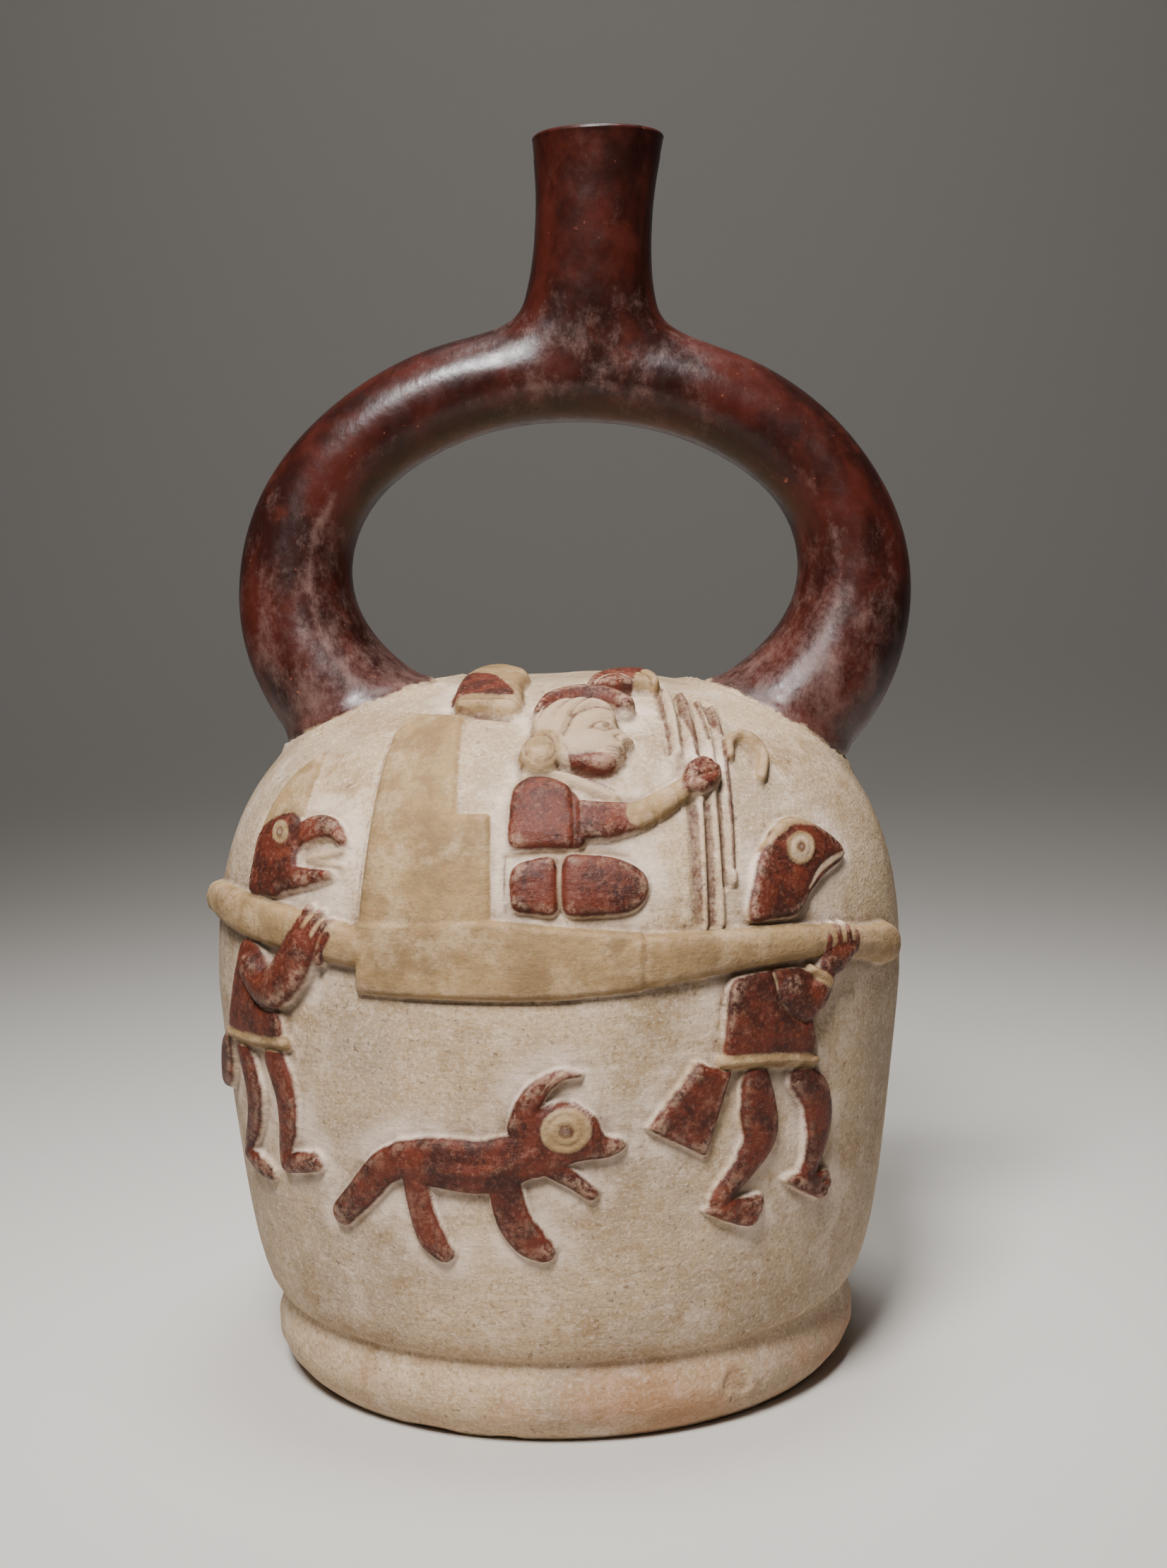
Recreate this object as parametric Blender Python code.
"""Stirrup-spout vase: one hollow piece of moulded earthenware under coloured slips.

A barrel chamber with a domed top stands on a rolled foot. A hollow stirrup springs from its
shoulders, a little to one side, and carries a flared spout that stands and leans further that way,
as hand-built ones do.
The chamber wears a low moulded relief: two bird-headed bearers carry a seated lord on a litter,
and a dog walks below. The back repeats the scene in a plainer form.

Lengths are metres and +Z is up. The front of the relief faces -Y, and the origin is the centre of
the flat underside. A place on the relief is (across, up): the distance round the wall from the
scene's middle line, and the distance up the wall from the edge of the underside.
"""

import math

import bmesh
import bpy
import numpy as np
from mathutils import Vector
from mathutils.geometry import delaunay_2d_cdt

# Chamber
BASE_RADIUS = 0.0622
FOOT_BULGE = 0.0048
FOOT_BULGE_SKEW = 0.9
FOOT_HEIGHT = 0.0188
GROOVE_RADIUS = 0.0661
FLARE_HEIGHT = 0.0103
BELLY_RADIUS = 0.0801
BELLY_HEIGHT = 0.0914
BELLY_FLATNESS = 1.08
BELLY_FULLNESS = 0.41
DOME_HEIGHT = 0.1612
DOME_POWER = 2.75
CHAMBER_WALL = 0.0050
FLOOR_THICKNESS = 0.0065
FLOOR_CORNER = 0.0020

# Stirrup: the ellipses that bound it outside and inside, and where it runs into the chamber
STIRRUP_HALF_WIDTH = 0.0788
STIRRUP_RISE = 0.0630
STIRRUP_ABOVE_DOME = 0.0188
LOOP_HALF_WIDTH = 0.0523
LOOP_RISE = 0.0340
LOOP_ABOVE_DOME = 0.0248
OUTSIDE_END_ANGLE = 42.0
INSIDE_END_ANGLE = 62.0
STIRRUP_WALL = 0.0036
STIRRUP_OFFSET = 0.0055

# Spout, measured up from the top of the stirrup's arch
SPOUT_HEIGHT = 0.0420
SPOUT_OFFSET = 0.0091
SPOUT_LEAN = 0.070
MOUTH_RADIUS = 0.0152
WAIST_RADIUS = 0.0135
WAIST_ABOVE_ARCH = 0.0185
COLLAR_RADIUS = 0.0163
COLLAR_ABOVE_ARCH = 0.0015
SADDLE_TOP_ABOVE_ARCH = 0.0060
SADDLE_SPREAD = 0.0100
SADDLE_FIT = 0.98
SADDLE_FOOT = 0.80
SPOUT_WALL = 0.0032
LIP_WALL = 0.0024
LIP_ROUND = 0.0012

# Relief: how far each kind of form stands off the wall, and the run of its sloping edge
LITTER_RELIEF = 0.0015
BEAM_RELIEF = 0.0023
POLE_RELIEF = 0.0036
FIGURE_RELIEF = 0.0026
BELT_RELIEF = 0.0034
CREST_RELIEF = 0.0036
HAND_RELIEF = 0.0046
EYE_RELIEF = 0.0033
FINE_RELIEF = 0.0013
EDGE_SLOPE = 0.0011

# Litter
BEAM_TOP = 0.1205
BEAM_BOTTOM = 0.1060
BEAM_LEFT = -0.0430
BEAM_RIGHT = 0.0180
BACKREST_TOP = 0.1742
BACKREST_LEAN = 0.0075
BACKREST_RIGHT = -0.0197
SEAT_TOP = 0.1445
SEAT_RIGHT = -0.0128
POLE_LINE = 0.1142
POLE_HALF_DEPTH = 0.0044
RIGHT_POLE_END = 0.0945
LEFT_POLE_END = -0.1130

# Figures: the height or length of each, and where its drawing stands. The lord fills what is left
# between the floor of the litter and a gap below the apex. A drawing has its own size in its own units
BEARER_HEIGHT = 0.0840
BEARER_DRAWN = 84.0
RIGHT_BEARER_PLACE = (0.0480, 0.0550)
LEFT_BEARER_HEIGHT = 0.0880
LEFT_BEARER_DRAWN = 88.0
LEFT_BEARER_PLACE = (-0.0750, 0.0600)
LORD_PLACE = (0.0050, 0.1220)
LORD_DRAWN = 90.0
HEADDRESS_TO_APEX = 0.0095
DOG_LENGTH = 0.0660
DOG_DRAWN = 66.0
DOG_PLACE = (-0.0180, 0.0500)

# Fineness of the profile and of the mesh
FOOT_STEPS = 24
BELLY_STEPS = 60
DOME_STEPS = 90
NORMAL_REACH = 0.0008
GRID_STEP = 0.0092
GRID_CLEARANCE = 0.0030
LONGEST_EDGE = 0.0085
APEX_RADIUS = 0.0060
END_STEPS = 2
DISC_SIDES = 8
STIRRUP_SIDES = 20
STIRRUP_RINGS = 26
BORE_SIDES = 14
BORE_RINGS = 20
SPOUT_SIDES = 24
SPOUT_ROWS = 7
SADDLE_SHARES = (0.0, 0.25, 0.42, 0.58, 0.72, 0.86)
SPOUT_BORE_SIDES = 16
SPOUT_BORE_ROWS = 5
BORE_FOOT = 0.85
CAVITY_SIDES = 28
CAVITY_RINGS = 13
FOOT_ROWS = 5
MERGE = 0.0002
SEAM_MERGE = 0.00002
BURIED_DEPTH = 1.15 * EDGE_SLOPE
SHARP_ANGLE = 38.0

CREAM = (0.62, 0.52, 0.41)
TAN = (0.45, 0.34, 0.22)
RED = (0.24, 0.065, 0.035)
BURNISHED = (0.17, 0.060, 0.042)


def clear_scene():
    """Removes every object that the file opened with."""
    for item in list(bpy.data.objects):
        bpy.data.objects.remove(item)


def slip(name, colour, roughness):
    """A plain material in the colour of one fired slip."""
    material = bpy.data.materials.new(name)
    material.use_nodes = True
    shader = material.node_tree.nodes["Principled BSDF"]
    shader.inputs["Base Color"].default_value = (*colour, 1.0)
    shader.inputs["Roughness"].default_value = roughness
    shader.inputs["Metallic"].default_value = 0.0
    return material


# Chamber profile: pairs of radius and height, from the edge of the underside to the apex

def foot_profile(steps):
    """The rolled foot: a straight line from the underside to the groove, with a bulge on it."""
    share = np.linspace(0, 1, steps, endpoint=False)
    radius = BASE_RADIUS + (GROOVE_RADIUS - BASE_RADIUS) * share
    radius = radius + FOOT_BULGE * np.sin(np.pi * share**FOOT_BULGE_SKEW)
    return np.column_stack([radius, FOOT_HEIGHT * share])


def belly_profile(steps):
    """The lower wall: a straight flare out of the groove, then a slow swell to the belly."""
    flare = FLARE_HEIGHT / (BELLY_HEIGHT - FOOT_HEIGHT)
    share = np.concatenate([[0.0], np.linspace(flare, 1, steps, endpoint=False)])
    fill = (1 - (1 - share) ** BELLY_FLATNESS) ** BELLY_FULLNESS
    radius = GROOVE_RADIUS + (BELLY_RADIUS - GROOVE_RADIUS) * fill
    return np.column_stack([radius, FOOT_HEIGHT + (BELLY_HEIGHT - FOOT_HEIGHT) * share])


def dome_profile(steps):
    """The shoulder and the dome: a quarter of a superellipse."""
    angle = np.linspace(0, np.pi / 2, steps)
    radius = BELLY_RADIUS * np.clip(np.cos(angle), 0, 1) ** (2 / DOME_POWER)
    height = (DOME_HEIGHT - BELLY_HEIGHT) * np.sin(angle) ** (2 / DOME_POWER)
    return np.column_stack([radius, BELLY_HEIGHT + height])


PARTS = [foot_profile(FOOT_STEPS), belly_profile(BELLY_STEPS), dome_profile(DOME_STEPS)]
PROFILE = np.vstack(PARTS)
PROFILE_RUN = np.concatenate([[0.0], np.cumsum(np.hypot(*np.diff(PROFILE, axis=0).T))])
GROOVE_UP = float(PROFILE_RUN[len(PARTS[0])])
WALL_TOP = float(np.interp(-APEX_RADIUS, -PARTS[2][:, 0], PROFILE_RUN[-len(PARTS[2]):]))


def radius_at(up):
    return np.interp(up, PROFILE_RUN, PROFILE[:, 0])


def height_at(up):
    return np.interp(up, PROFILE_RUN, PROFILE[:, 1])


def off_wall(angle, up, stand_off):
    """The point that far off the outer wall. The angle is 0 at -Y and grows towards +X."""
    rise = height_at(up + NORMAL_REACH) - height_at(up - NORMAL_REACH)
    run = radius_at(up + NORMAL_REACH) - radius_at(up - NORMAL_REACH)
    length = np.hypot(rise, run) + 1e-12
    radius = radius_at(up) + rise / length * stand_off
    height = height_at(up) - run / length * stand_off
    return np.stack([radius * np.sin(angle), -radius * np.cos(angle), height], axis=-1)


# Forms of the relief. Each has a closed outline, drawn at any inset, and a depth inside its edge.
# A form that lies on a figure slopes up from the face under it, and others from the wall

class Limb:
    """A stroke through points of (across, up, half width), with round ends."""

    def __init__(self, slip_index, relief, points, under=0.0):
        self.slip_index, self.relief, self.under = slip_index, relief, under
        self.points = np.array(points, dtype=float)

    def outline(self, inset):
        centres, widths = self.points[:, :2], self.points[:, 2] - inset
        steps = np.diff(centres, axis=0)
        steps /= np.linalg.norm(steps, axis=1)[:, None]
        bends = np.vstack([steps[:1], steps[:-1] + steps[1:], steps[-1:]])
        bends /= np.linalg.norm(bends, axis=1)[:, None]
        sides = np.column_stack([-bends[:, 1], bends[:, 0]]) * widths[:, None]
        turn = np.pi * np.arange(1, END_STEPS + 1)[:, None] / (END_STEPS + 1)
        far = centres[-1] + sides[-1] * np.cos(turn) + steps[-1] * widths[-1] * np.sin(turn)
        near = centres[0] - sides[0] * np.cos(turn) - steps[0] * widths[0] * np.sin(turn)
        return np.vstack([centres + sides, far, (centres - sides)[::-1], near])

    def depth(self, places):
        best = np.full(len(places), -1.0)
        for start, end in zip(self.points[:-1], self.points[1:]):
            span = end[:2] - start[:2]
            share = np.clip((places - start[:2]) @ span / (span @ span), 0, 1)
            gap = np.linalg.norm(places - start[:2] - share[:, None] * span, axis=1)
            best = np.maximum(best, start[2] + (end[2] - start[2]) * share - gap)
        return best


class Panel:
    """A flat-sided shape through corners given clockwise."""

    def __init__(self, slip_index, relief, corners):
        self.slip_index, self.relief, self.under = slip_index, relief, 0.0
        self.corners = np.array(corners, dtype=float)

    def outline(self, inset):
        before = self.corners - np.roll(self.corners, 1, axis=0)
        after = np.roll(self.corners, -1, axis=0) - self.corners
        before /= np.linalg.norm(before, axis=1)[:, None]
        after /= np.linalg.norm(after, axis=1)[:, None]
        inward = np.column_stack([before[:, 1] + after[:, 1], -before[:, 0] - after[:, 0]])
        spread = 1 + np.sum(before * after, axis=1)
        return self.corners + inward * (inset / spread)[:, None]

    def depth(self, places):
        gap = np.full(len(places), 1.0)
        inside = np.zeros(len(places), dtype=bool)
        for start, end in zip(self.corners, np.roll(self.corners, -1, axis=0)):
            span = end - start
            share = np.clip((places - start) @ span / (span @ span), 0, 1)
            gap = np.minimum(gap, np.linalg.norm(places - start - share[:, None] * span, axis=1))
            crosses = (start[1] > places[:, 1]) != (end[1] > places[:, 1])
            reach = start[0] + (places[:, 1] - start[1]) * span[0] / (span[1] + 1e-15)
            inside ^= crosses & (places[:, 0] < reach)
        return np.where(inside, gap, -gap)


class Disc:
    """An ellipse, turned by a number of degrees."""

    def __init__(self, slip_index, relief, centre, half_width, half_height, turn=0.0, under=0.0):
        self.slip_index, self.relief, self.under = slip_index, relief, under
        self.centre, self.halves = np.array(centre), np.array([half_width, half_height])
        angle = math.radians(turn)
        self.axes = np.array([[math.cos(angle), math.sin(angle)], [-math.sin(angle), math.cos(angle)]])

    def outline(self, inset):
        angle = -2 * np.pi * np.arange(DISC_SIDES)[:, None] / DISC_SIDES
        return self.centre + np.hstack([np.cos(angle), np.sin(angle)]) * (self.halves - inset) @ self.axes

    def depth(self, places):
        local = (places - self.centre) @ self.axes.T / self.halves
        return (1 - np.linalg.norm(local, axis=1)) * self.halves.min()


class Figure:
    """Collects forms drawn in a figure's own units, about the place where it stands."""

    def __init__(self, place, size, drawn_size):
        self.place, self.scale = np.array(place), size / drawn_size
        self.forms = []

    def limb(self, slip_index, relief, *points, under=0.0):
        moved = [(*(self.place + np.array(p[:2]) * self.scale), p[2] * self.scale) for p in points]
        self.forms.append(Limb(slip_index, relief, moved, under))

    def panel(self, slip_index, relief, *corners):
        moved = [self.place + np.array(corner) * self.scale for corner in corners]
        self.forms.append(Panel(slip_index, relief, moved))

    def disc(self, slip_index, relief, centre, half_width, half_height, turn=0.0, under=0.0):
        moved = self.place + np.array(centre) * self.scale
        halves = half_width * self.scale, half_height * self.scale
        self.forms.append(Disc(slip_index, relief, moved, *halves, turn, under))


BODY_SLIP, TAN_SLIP, RED_SLIP, BURNISHED_SLIP = range(4)


def bar(relief, start, end, sections):
    """A pole with square ends, through sections of (share of its run, middle, half depth)."""
    upper = [(start + (end - start) * share, middle + half) for share, middle, half in sections]
    lower = [(start + (end - start) * share, middle - half) for share, middle, half in sections]
    loop = upper + lower[::-1]
    return Panel(TAN_SLIP, relief, loop if end > start else loop[::-1])


def litter():
    """The litter: a backrest, a low seat side, a floor beam, and a pole out to each side."""
    left, right, top, edge = BEAM_LEFT, BACKREST_RIGHT, BACKREST_TOP, BACKREST_LEAN
    backrest = [(left, BEAM_BOTTOM), (left + edge * 0.1, BEAM_TOP), (left + edge, top - edge),
                (left + edge * 1.4, top), (right, top), (right - edge * 0.1, BEAM_BOTTOM)]
    seat = [(right - edge, BEAM_BOTTOM), (right - edge, SEAT_TOP), (SEAT_RIGHT, SEAT_TOP),
            (SEAT_RIGHT, BEAM_BOTTOM)]
    line, deep = POLE_LINE, POLE_HALF_DEPTH
    beam_middle, beam_half = (BEAM_TOP + BEAM_BOTTOM) / 2, (BEAM_TOP - BEAM_BOTTOM) / 2
    beam = [(0.0, beam_middle, beam_half), (0.7, beam_middle, beam_half),
            (1.0, line - deep * 0.2, deep * 1.3)]
    right_pole = [(0.0, line - deep * 0.2, deep * 1.3), (0.28, line, deep), (0.53, line, deep * 0.7),
                  (0.76, line - deep * 0.75, deep * 0.85), (0.94, line - deep * 1.5, deep * 1.15),
                  (1.0, line - deep * 1.5, deep * 0.8)]
    left_pole = [(0.0, line + deep * 0.5, deep), (0.3, line + deep * 0.9, deep * 1.1),
                 (0.6, line + deep * 1.1, deep * 1.05), (0.84, line + deep * 1.2, deep * 0.75),
                 (0.88, line + deep * 1.1, deep * 0.95), (1.0, line + deep, deep * 0.7)]
    return [Panel(TAN_SLIP, LITTER_RELIEF, backrest), Panel(TAN_SLIP, LITTER_RELIEF, seat),
            bar(BEAM_RELIEF, left, BEAM_RIGHT, beam),
            bar(POLE_RELIEF, BEAM_RIGHT, RIGHT_POLE_END, right_pole),
            bar(POLE_RELIEF, left, LEFT_POLE_END, left_pole)]


def right_bearer(plain):
    """The bearer who leads, in profile: long beak, arm up to the pole, belt, tail and bare legs."""
    figure = Figure(RIGHT_BEARER_PLACE, BEARER_HEIGHT, BEARER_DRAWN)
    figure.panel(RED_SLIP, FIGURE_RELIEF, (-6.5, 64), (-5.5, 72), (-3, 78.5), (1, 83.5), (6, 85), (12, 83),
                 (19, 80), (25, 75.3), (19, 73), (12, 69.5), (9.5, 64))
    figure.panel(RED_SLIP, FIGURE_RELIEF, (-12.5, 36), (-13, 49), (-11, 53.5), (2, 53.8), (10, 49),
                 (12, 43), (11.5, 33))
    figure.limb(TAN_SLIP, BELT_RELIEF, (-13, 36.6, 1.8), (11.5, 33.6, 1.8), under=FIGURE_RELIEF)
    figure.panel(RED_SLIP, FIGURE_RELIEF, (-29.5, 24), (-19, 36), (-11, 34), (-16, 18), (-20, 16.5))
    figure.limb(RED_SLIP, FIGURE_RELIEF, (-4.5, 31, 4.2), (-4.5, 24, 5.1), (-4, 19, 4.7), (-8, 11, 3.3),
                (-11.5, 7, 2.8))
    figure.limb(RED_SLIP, FIGURE_RELIEF, (-14, 4.5, 2.6), (-6, 1.5, 3.1))
    figure.limb(RED_SLIP, FIGURE_RELIEF, (8, 29, 4.2), (12.4, 23, 4.5), (12.2, 17, 3.6), (9, 10, 2.8))
    figure.limb(RED_SLIP, FIGURE_RELIEF, (7.5, 6, 2.7), (14, 4.5, 3.6))
    figure.limb(RED_SLIP, HAND_RELIEF, (2, 51, 4), (9, 44.5, 3.8), (14, 50, 3.6), (16, 54, 3.6))
    figure.limb(RED_SLIP, HAND_RELIEF, (15.4, 55.4, 4.3), (20.4, 55.8, 4.2))
    if not plain:
        figure.disc(TAN_SLIP, EYE_RELIEF, (7, 78), 4.8, 3.8, -8, FIGURE_RELIEF)
    return figure.forms


def left_bearer(plain):
    """The bearer who follows, with a crest, a thick open beak and the near hand on the pole."""
    figure = Figure(LEFT_BEARER_PLACE, LEFT_BEARER_HEIGHT, LEFT_BEARER_DRAWN)
    figure.panel(RED_SLIP, FIGURE_RELIEF, (-2, 64), (-0.5, 74), (2, 81), (7, 87.5), (13, 82.5), (15, 77),
                 (15, 70), (13, 64.5))
    figure.limb(TAN_SLIP, FIGURE_RELIEF, (9, 84.5, 4.4), (13.5, 91, 3.4), (17, 96, 1.8))
    figure.limb(RED_SLIP, FIGURE_RELIEF, (14, 76, 3), (20, 79.2, 3), (25.4, 79.4, 2.5), (28.4, 77.4, 1.7))
    figure.limb(RED_SLIP, FIGURE_RELIEF, (13, 68.5, 3.4), (23, 68.5, 1.8))
    figure.panel(RED_SLIP, FIGURE_RELIEF, (-13.5, 32), (-11.5, 42), (-7, 52), (-2, 54.5), (7, 52), (10, 43),
                 (10.5, 32))
    figure.limb(TAN_SLIP, BELT_RELIEF, (-14, 31.6, 1.8), (12, 32, 1.8), under=FIGURE_RELIEF)
    figure.limb(RED_SLIP, FIGURE_RELIEF, (-18, 29, 3.6), (-22.5, 20, 5))
    figure.limb(RED_SLIP, FIGURE_RELIEF, (-7, 27, 4.2), (-3, 19, 4), (-5.5, 11, 3.2), (-9, 6, 2.8))
    figure.limb(RED_SLIP, FIGURE_RELIEF, (-9.5, 3, 2.8), (-1, 1.5, 2.7))
    figure.limb(RED_SLIP, FIGURE_RELIEF, (7, 28, 4.4), (11, 21, 4), (9, 13, 3.2), (8.5, 6, 2.8))
    figure.limb(RED_SLIP, FIGURE_RELIEF, (9, 5, 2.8), (18, 6.5, 3.2))
    figure.limb(RED_SLIP, HAND_RELIEF, (1, 47, 4), (9, 45, 4.4), (17, 53, 4.2), (23, 59, 3.6))
    if not plain:
        figure.disc(TAN_SLIP, EYE_RELIEF, (5.5, 76), 3.8, 3, 0, FIGURE_RELIEF)
    return figure.forms


def lord(plain):
    """The seated lord: folded legs, raised forearms, a plain head, and on the front a headdress."""
    height = float(PROFILE_RUN[-1]) - HEADDRESS_TO_APEX - LORD_PLACE[1]
    figure = Figure(LORD_PLACE, height, LORD_DRAWN)
    figure.limb(RED_SLIP, FIGURE_RELIEF, (-8.5, 7, 5.6), (9, 7, 5.6))
    figure.panel(RED_SLIP, FIGURE_RELIEF, (-14, 14.5), (-13.5, 25), (-11, 30.5), (-6, 32), (0, 29.5),
                 (3, 24), (3, 14.5))
    figure.limb(RED_SLIP, FIGURE_RELIEF, (-1, 23, 4.5), (8, 20, 4.2), (13, 20.5, 3.6), (23, 26, 3))
    figure.disc(RED_SLIP, HAND_RELIEF, (27, 28.5), 4.8, 4.4)
    figure.disc(RED_SLIP, HAND_RELIEF, (2, 43), 9.2, 11.5)
    if not plain:
        figure.limb(RED_SLIP, HAND_RELIEF, (-7, 50.6, 2), (-4.2, 55, 2.8), (1, 57.4, 3.3), (6.4, 56.2, 3),
                    (11, 51.8, 2.1))
        figure.limb(TAN_SLIP, CREST_RELIEF, (-22.5, 55.2, 3.5), (-13.5, 55.2, 3.5))
        figure.limb(RED_SLIP, CREST_RELIEF, (-20.5, 65.5, 6.6), (-21.5, 69, 6))
        figure.limb(TAN_SLIP, CREST_RELIEF, (-18, 78, 7), (-17, 83, 6.5))
        figure.limb(RED_SLIP, CREST_RELIEF, (8.6, 68.6, 5.4), (15.6, 68.2, 5.4))
        figure.disc(TAN_SLIP, HAND_RELIEF + FINE_RELIEF, (-8.5, 39), 3.8, 5.5, 10)
        figure.limb(TAN_SLIP, FINE_RELIEF, (22.3, 39.5, 1.9), (22.3, 58.5, 1.9))
        figure.limb(TAN_SLIP, FIGURE_RELIEF, (35.5, 34, 2), (37, 38.5, 2), (40.5, 39.8, 2), (44, 36, 2),
                    (44, 28.5, 1.9))
    return figure.forms


def dog(plain):
    """The dog, with a pricked ear, open jaws and a lowered tail."""
    figure = Figure(DOG_PLACE, DOG_LENGTH, DOG_DRAWN)
    figure.limb(RED_SLIP, FIGURE_RELIEF, (-32, 7, 3), (-25, 12, 3.6), (-18, 20, 4))
    figure.limb(RED_SLIP, FIGURE_RELIEF, (-15, 21.5, 5), (6, 20.5, 6), (18, 27, 6.4))
    figure.limb(RED_SLIP, FIGURE_RELIEF, (11.2, 30.6, 3.2), (13.6, 37, 2.8), (21.6, 40.6, 1.5))
    figure.limb(RED_SLIP, FIGURE_RELIEF, (18, 24.5, 2.8), (31, 25, 2))
    figure.limb(RED_SLIP, FIGURE_RELIEF, (19, 21, 2.8), (24.5, 16, 2.2))
    figure.limb(RED_SLIP, FIGURE_RELIEF, (-12.5, 18, 4), (-11, 8, 3.4), (-8.5, 2, 3.4))
    figure.limb(RED_SLIP, FIGURE_RELIEF, (8, 17, 4.4), (11, 9, 3.8), (14, 3.5, 3.6))
    if not plain:
        figure.disc(TAN_SLIP, EYE_RELIEF, (19.6, 29), 4.8, 4.6, 0, FIGURE_RELIEF)
    return figure.forms


def scene_forms(plain):
    return litter() + right_bearer(plain) + left_bearer(plain) + lord(plain) + dog(plain)


# The chamber's outer wall, meshed flat and then wrapped round

def stand_off_at(forms, places):
    """How far the relief stands off the wall, and which slip covers each place."""
    height, cover = np.zeros(len(places)), np.full(len(places), BODY_SLIP)
    for form in forms:
        share = np.clip(form.depth(places) / EDGE_SLOPE, 0, 1)
        own = form.under * (share > 0) + (form.relief - form.under) * np.sin(share * np.pi / 2)
        cover = np.where((own > 0) & (own >= height), form.slip_index, cover)
        height = np.maximum(height, own)
    return height, cover


def buried(form, forms, place):
    """Whether a place on this form's outline lies well inside another form that stands as high."""
    for other in forms:
        if other is not form and other.relief >= form.relief - 1e-9:
            if other.depth(place[None])[0] > BURIED_DEPTH:
                return True
    return False


def outline_edges(forms):
    """The edges of every form: its foot on the wall and the crest where its slope ends."""
    edges = []
    for form in forms:
        for inset in (0.0, EDGE_SLOPE):
            loop = form.outline(inset)
            for start, end in zip(loop, np.roll(loop, -1, axis=0)):
                pieces = max(1, round(float(np.linalg.norm(end - start)) / LONGEST_EDGE))
                stops = start + (end - start) * np.linspace(0, 1, pieces + 1)[:, None]
                for pair in zip(stops[:-1], stops[1:]):
                    if not buried(form, forms, sum(pair) / 2):
                        edges.append(pair)
    return edges


def near_edges(places, edges, clearance):
    near = np.zeros(len(places), dtype=bool)
    for start, end in edges:
        span = end - start
        share = np.clip((places - start) @ span / max(span @ span, 1e-12), 0, 1)
        near |= np.linalg.norm(places - start - share[:, None] * span, axis=1) < clearance
    return near


def wall_rows():
    """Distances up the wall for the rows of the plain grid: close at the foot, wider above."""
    above = round((WALL_TOP - GROOVE_UP) / GRID_STEP) + 1
    foot = np.linspace(0, GROOVE_UP, FOOT_ROWS, endpoint=False)
    return np.concatenate([foot, np.linspace(GROOVE_UP, WALL_TOP, above)])


def columns_at(up):
    return max(6, round(math.pi * float(radius_at(up)) / GRID_STEP))


def wall_half(forms, facing):
    """Half of the outer wall with its relief, facing the given angle: points, faces and slips."""
    rows = wall_rows()
    quarter = np.pi / 2 * radius_at(rows)
    bottom = np.column_stack([np.linspace(-quarter[0], quarter[0], columns_at(0) + 1),
                              np.zeros(columns_at(0) + 1)])
    top = np.column_stack([np.linspace(quarter[-1], -quarter[-1], columns_at(WALL_TOP) + 1),
                           np.full(columns_at(WALL_TOP) + 1, rows[-1])])
    right = np.column_stack([quarter, rows])[1:-1]
    left = np.column_stack([-quarter, rows])[1:-1][::-1]
    border = np.vstack([bottom, right, top, left])
    edges = outline_edges(forms)
    inner = []
    for up, reach in zip(rows[1:-1], quarter[1:-1]):
        across = np.linspace(-reach, reach, columns_at(up) + 1)[1:-1]
        inner.append(np.column_stack([across, np.full(len(across), up)]))
    inner = np.vstack(inner)
    inner = inner[~near_edges(inner, edges, GRID_CLEARANCE)]
    points = [Vector(p) for p in border]
    links = [(k, (k + 1) % len(border)) for k in range(len(border))]
    for start, end in edges:
        links.append((len(points), len(points) + 1))
        points += [Vector(start), Vector(end)]
    points += [Vector(p) for p in inner]
    flat, _, faces, *_ = delaunay_2d_cdt(points, links, [], 1, MERGE)
    places = np.array([tuple(p) for p in flat])
    height, _ = stand_off_at(forms, places)
    angle = places[:, 0] / radius_at(places[:, 1]) + facing
    centres = np.array([places[list(face)].mean(axis=0) for face in faces])
    _, cover = stand_off_at(forms, centres)
    return off_wall(angle, places[:, 1], height), faces, cover


def chamber_outside():
    """The closed outer body of the chamber: two halves, a flat underside and a cap on the dome."""
    mesh = bmesh.new()
    for forms, facing in ((scene_forms(False), 0.0), (scene_forms(True), math.pi)):
        points, faces, cover = wall_half(forms, facing)
        corners = [mesh.verts.new(p) for p in points]
        for face, slip_index in zip(faces, cover):
            made = mesh.faces.new([corners[k] for k in face])
            made.material_index = int(slip_index)
    bmesh.ops.remove_doubles(mesh, verts=mesh.verts, dist=SEAM_MERGE)
    rim_edges = [edge for edge in mesh.edges if edge.is_boundary]
    bmesh.ops.holes_fill(mesh, edges=rim_edges, sides=0)
    bmesh.ops.recalc_face_normals(mesh, faces=mesh.faces)
    return finished("vase", mesh)


# The round bodies: each is a row of rings, joined side to side and closed at both ends

def ringed_body(name, rings, slip_index=0, hidden=True):
    """A closed body through rings of the same number of points."""
    mesh = bmesh.new()
    rows = [[mesh.verts.new(p) for p in ring] for ring in rings]
    count = len(rows[0])
    for lower, upper in zip(rows[:-1], rows[1:]):
        for k in range(count):
            after = (k + 1) % count
            mesh.faces.new([lower[k], lower[after], upper[after], upper[k]])
    mesh.faces.new(rows[0][::-1])
    mesh.faces.new(rows[-1])
    for face in mesh.faces:
        face.material_index = slip_index
    bmesh.ops.recalc_face_normals(mesh, faces=mesh.faces)
    return finished(name, mesh, hidden)


def finished(name, mesh, hidden=False):
    """Turns a bmesh into a linked object. A hidden one only takes part in the Booleans."""
    data = bpy.data.meshes.new(name)
    mesh.to_mesh(data)
    mesh.free()
    made = bpy.data.objects.new(name, data)
    bpy.context.scene.collection.objects.link(made)
    if hidden:
        made.hide_render = True
        made.display_type = "WIRE"
    return made


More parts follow.
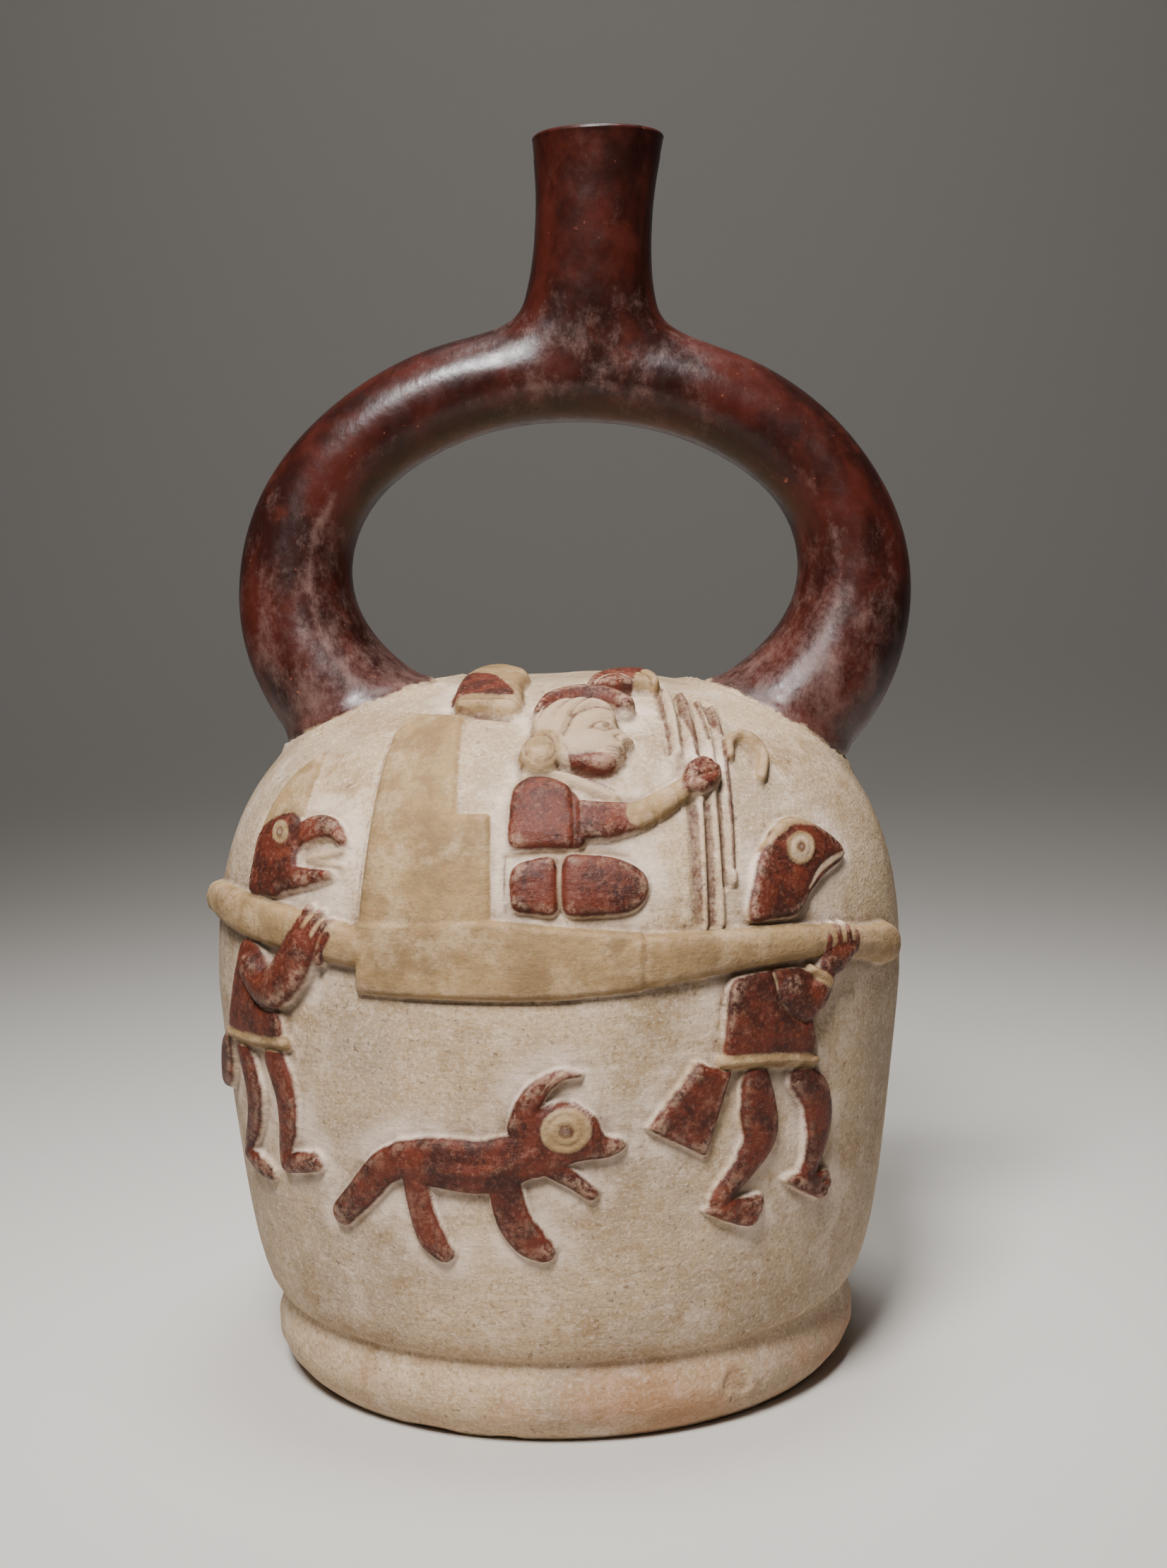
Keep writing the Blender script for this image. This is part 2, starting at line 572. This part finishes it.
STIRRUP_MIDDLE = DOME_HEIGHT + STIRRUP_ABOVE_DOME
LOOP_MIDDLE = DOME_HEIGHT + LOOP_ABOVE_DOME
ARCH_TOP = STIRRUP_MIDDLE + STIRRUP_RISE
ARCH_RADIUS = (ARCH_TOP - LOOP_MIDDLE - LOOP_RISE) / 2
ARCH_MIDDLE = ARCH_TOP - ARCH_RADIUS
RIM = ARCH_TOP + SPOUT_HEIGHT
WAIST = ARCH_TOP + WAIST_ABOVE_ARCH
COLLAR = ARCH_TOP + COLLAR_ABOVE_ARCH


def leaned(points):
    """Shifts points to the spout's side of the arch, and further in step with their height."""
    points = np.array(points, dtype=float)
    points[..., 0] += SPOUT_OFFSET + SPOUT_LEAN * (points[..., 2] - ARCH_MIDDLE)
    return points


def circle(sides):
    angle = 2 * np.pi * np.arange(sides) / sides
    return np.cos(angle)[:, None], np.sin(angle)[:, None]


def stirrup_rings(sides, count, wall):
    """Rings across the tube, each spanning from the inner ellipse to the outer one."""
    across, along = circle(sides)
    rings = []
    for share in np.linspace(-1, 1, count):
        outside = math.radians(90 - (90 + OUTSIDE_END_ANGLE) * abs(share))
        inside = math.radians(90 - (90 + INSIDE_END_ANGLE) * abs(share))
        side = math.copysign(1, share)
        outer = np.array([side * STIRRUP_HALF_WIDTH * math.cos(outside), 0,
                          STIRRUP_MIDDLE + STIRRUP_RISE * math.sin(outside)])
        inner = np.array([side * LOOP_HALF_WIDTH * math.cos(inside), 0,
                          LOOP_MIDDLE + LOOP_RISE * math.sin(inside)])
        radius = np.linalg.norm(outer - inner) / 2
        reach = (outer - inner) / 2 * (radius - wall) / radius
        deep = np.array([0, radius - wall, 0])
        rings.append((outer + inner) / 2 + across * reach + along * deep)
    return np.array(rings) + [STIRRUP_OFFSET, 0, 0]


def spout_radius(height):
    """Narrow at the waist, widening as the square of the distance up to the rim or down."""
    if height > WAIST:
        return WAIST_RADIUS + (MOUTH_RADIUS - WAIST_RADIUS) * ((height - WAIST) / (RIM - WAIST)) ** 2
    return WAIST_RADIUS + (COLLAR_RADIUS - WAIST_RADIUS) * ((WAIST - height) / (WAIST - COLLAR)) ** 2


def spout_depth(height):
    """Half the spout's depth from front to back: the arch's at its foot, the full radius at the waist."""
    share = min(1.0, max(0.0, (height - ARCH_MIDDLE) / (WAIST - ARCH_MIDDLE)))
    blend = share * share * (3 - 2 * share)
    return ARCH_RADIUS * SADDLE_FIT * (1 - blend) + spout_radius(max(height, WAIST)) * blend


def spout_rings():
    """The spout over a saddle that spreads along the arch and is no deeper than it."""
    saddle_top = ARCH_TOP + SADDLE_TOP_ABOVE_ARCH
    sections = []
    for share in SADDLE_SHARES:
        height = ARCH_MIDDLE + (saddle_top - ARCH_MIDDLE) * share
        spread = SADDLE_SPREAD * (1 - share) ** 3 * min(1.0, SADDLE_FOOT / 2 + share * 3)
        foot = 1 - (1 - SADDLE_FOOT) * (1 - min(1.0, share * 8)) ** 2
        sections.append((height, spout_radius(height) + spread, spout_depth(height) * foot))
    for height in np.linspace(saddle_top, RIM - LIP_ROUND, SPOUT_ROWS):
        sections.append((height, spout_radius(height), spout_depth(height)))
    sections.append((RIM, MOUTH_RADIUS - LIP_ROUND, MOUTH_RADIUS - LIP_ROUND))
    return oval_rings(sections, SPOUT_SIDES)


def spout_bore_rings():
    """The bore of the spout, down into the bore of the arch and out past the rim."""
    arch_bore = ARCH_RADIUS - STIRRUP_WALL
    foot = arch_bore * BORE_FOOT
    sections = [(ARCH_MIDDLE, foot, foot)]
    for height in np.linspace(COLLAR, RIM - LIP_ROUND * 3, SPOUT_BORE_ROWS):
        sections.append((height, spout_radius(height) - SPOUT_WALL, spout_depth(height) - SPOUT_WALL))
    for height in (RIM, RIM + LIP_ROUND * 3):
        sections.append((height, MOUTH_RADIUS - LIP_WALL, MOUTH_RADIUS - LIP_WALL))
    return oval_rings(sections, SPOUT_BORE_SIDES)


def oval_rings(sections, sides):
    """Leaned level rings through sections of (height, half width, half depth)."""
    across, along = circle(sides)
    level = np.ones_like(across)
    return leaned([np.hstack([across * wide, along * deep, level * height])
                   for height, wide, deep in sections])


def cavity_rings():
    """The chamber's hollow: a flat floor, then the outer profile moved in by the wall."""
    rows = np.linspace(GROOVE_UP, WALL_TOP, CAVITY_RINGS)
    inner = off_wall(np.zeros(len(rows)), rows, -CHAMBER_WALL)
    radii, heights = -inner[:, 1], inner[:, 2]
    radii = np.concatenate([[radii[0] - FLOOR_CORNER], radii])
    heights = np.concatenate([[FLOOR_THICKNESS], heights])
    across, along = circle(CAVITY_SIDES)
    return [np.hstack([across * r, along * r, np.full_like(across, z)]) for r, z in zip(radii, heights)]


def combine(body, other, operation):
    """Adds an EXACT Boolean to a body and applies it."""
    step = body.modifiers.new(operation.lower(), "BOOLEAN")
    step.operation = operation
    step.solver = "EXACT"
    step.object = other
    graph = bpy.context.evaluated_depsgraph_get()
    result = bpy.data.meshes.new_from_object(body.evaluated_get(graph))
    body.modifiers.clear()
    body.data = result


def build():
    clear_scene()
    slips = [slip("cream slip", CREAM, 0.7), slip("tan slip", TAN, 0.65), slip("red slip", RED, 0.55),
             slip("burnished red slip", BURNISHED, 0.3)]
    vase = chamber_outside()
    stirrup = ringed_body("stirrup shape", stirrup_rings(STIRRUP_SIDES, STIRRUP_RINGS, 0.0), BURNISHED_SLIP)
    spout = ringed_body("spout shape", spout_rings(), BURNISHED_SLIP)
    cavity = ringed_body("chamber hollow", cavity_rings())
    stirrup_bore = ringed_body("stirrup bore", stirrup_rings(BORE_SIDES, BORE_RINGS, STIRRUP_WALL))
    spout_bore = ringed_body("spout bore", spout_bore_rings())
    for made in (vase, stirrup, spout, cavity, stirrup_bore, spout_bore):
        for material in slips:
            made.data.materials.append(material)
    combine(vase, stirrup, "UNION")
    combine(vase, spout, "UNION")
    combine(stirrup_bore, cavity, "UNION")
    combine(stirrup_bore, spout_bore, "UNION")
    combine(vase, stirrup_bore, "DIFFERENCE")
    vase.data.shade_smooth()
    vase.data.set_sharp_from_angle(angle=math.radians(SHARP_ANGLE))
    bpy.context.view_layer.update()


build()
